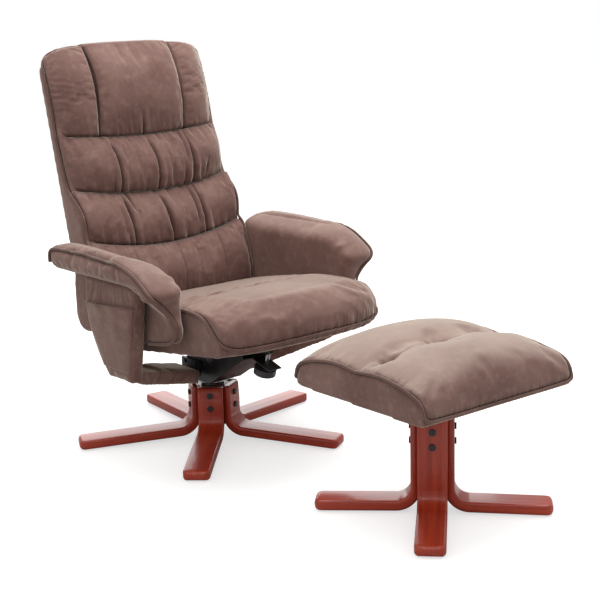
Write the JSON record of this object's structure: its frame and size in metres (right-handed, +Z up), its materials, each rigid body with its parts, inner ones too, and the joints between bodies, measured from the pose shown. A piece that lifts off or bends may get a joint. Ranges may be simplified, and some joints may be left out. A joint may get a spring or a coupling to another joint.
{
  "type": "recliner with footstool",
  "caption": "Swivel recliner with a channelled high back, drooping padded arms and a bent-wood star base, with a matching cushioned footstool on a bent-wood cross.",
  "frame": {"origin": "on the floor, on the chair's swivel axis", "axes": "+Z up, -Y the way the chair faces at rest, +X to the sitter's left"},
  "size_m": [0.708, 1.3452, 1.0138],
  "materials": {
    "suede_fabric": "matt brushed nap",
    "cherry_wood": "gloss lacquer",
    "plywood": "plain",
    "black_steel": "semi-gloss",
    "steel": "plain",
    "nylon": "matt",
    "knob_plastic": "matt",
    "rubber": "matt"
  },
  "bodies": {
    "base": {"base_glides": "nylon", "base_hub": "cherry_wood", "base_leg_1": "cherry_wood", "base_leg_2": "cherry_wood", "base_leg_3": "cherry_wood", "base_leg_4": "cherry_wood", "base_leg_5": "cherry_wood", "base_leg_bolts": "black_steel", "bearing_lower_race": "steel", "swivel_bush": "nylon"},
    "arm_frame": {"arm_bar_bolts": "black_steel", "arm_bar_left": "black_steel", "arm_bar_right": "black_steel", "arm_board_left": "plywood", "arm_board_right": "plywood", "arm_core_left": "suede_fabric", "arm_core_right": "suede_fabric", "arm_pad_left": "suede_fabric", "arm_pad_right": "suede_fabric", "arm_pocket": "suede_fabric", "arm_screws": "steel", "arm_sleeve_left": "suede_fabric", "arm_sleeve_right": "suede_fabric", "bearing_balls": "steel", "bearing_cage": "nylon", "bearing_upper_race": "steel", "pivot_rings": "steel", "pivot_shaft": "steel", "post_ring": "steel", "swivel_post": "steel", "tension_lever": "black_steel", "tilt_pan": "black_steel", "torsion_rubber": "rubber"},
    "seat_shell": {"back_board": "plywood", "back_head_panel": "suede_fabric", "back_head_wing_left": "suede_fabric", "back_head_wing_right": "suede_fabric", "back_lower_roll": "suede_fabric", "back_lumbar": "suede_fabric", "back_shell": "suede_fabric", "back_strap_left": "black_steel", "back_strap_right": "black_steel", "back_upper_roll": "suede_fabric", "seat_board": "plywood", "seat_bracket": "black_steel", "seat_cushion": "suede_fabric", "seat_screws": "steel"},
    "knob": {"tension_knob": "knob_plastic", "tension_spindle": "steel"},
    "stool": {"stool_board": "plywood", "stool_cushion": "suede_fabric", "stool_glides": "nylon", "stool_hub": "cherry_wood", "stool_leg_1": "cherry_wood", "stool_leg_2": "cherry_wood", "stool_leg_3": "cherry_wood", "stool_leg_4": "cherry_wood", "stool_leg_bolts": "black_steel", "stool_plate": "black_steel", "stool_screws": "steel"}
  },
  "joints": [
    {"name": "swivel", "type": "hinge", "parent": "base", "child": "arm_frame", "pos_m": [0, 0, 0.15], "axis": [0, 0, 1], "continuous": true},
    {"name": "recline", "type": "hinge", "parent": "arm_frame", "child": "seat_shell", "pos_m": [0, -0.06, 0.225], "axis": [-1, 0, 0], "range_deg": [0, 15], "stiffness_Nm_per_rad": 90, "springref_deg": -34.38},
    {"name": "tension_turn", "type": "hinge", "parent": "arm_frame", "child": "knob", "pos_m": [0, -0.229, 0.2385], "axis": [0, -0.3032, 0.9529], "range_deg": [-540, 540]},
    {"name": "stool_slide", "type": "slide", "parent": "base", "child": "stool", "axis": [0, -1, 0], "range_m": [0, 0.5]}
  ]
}
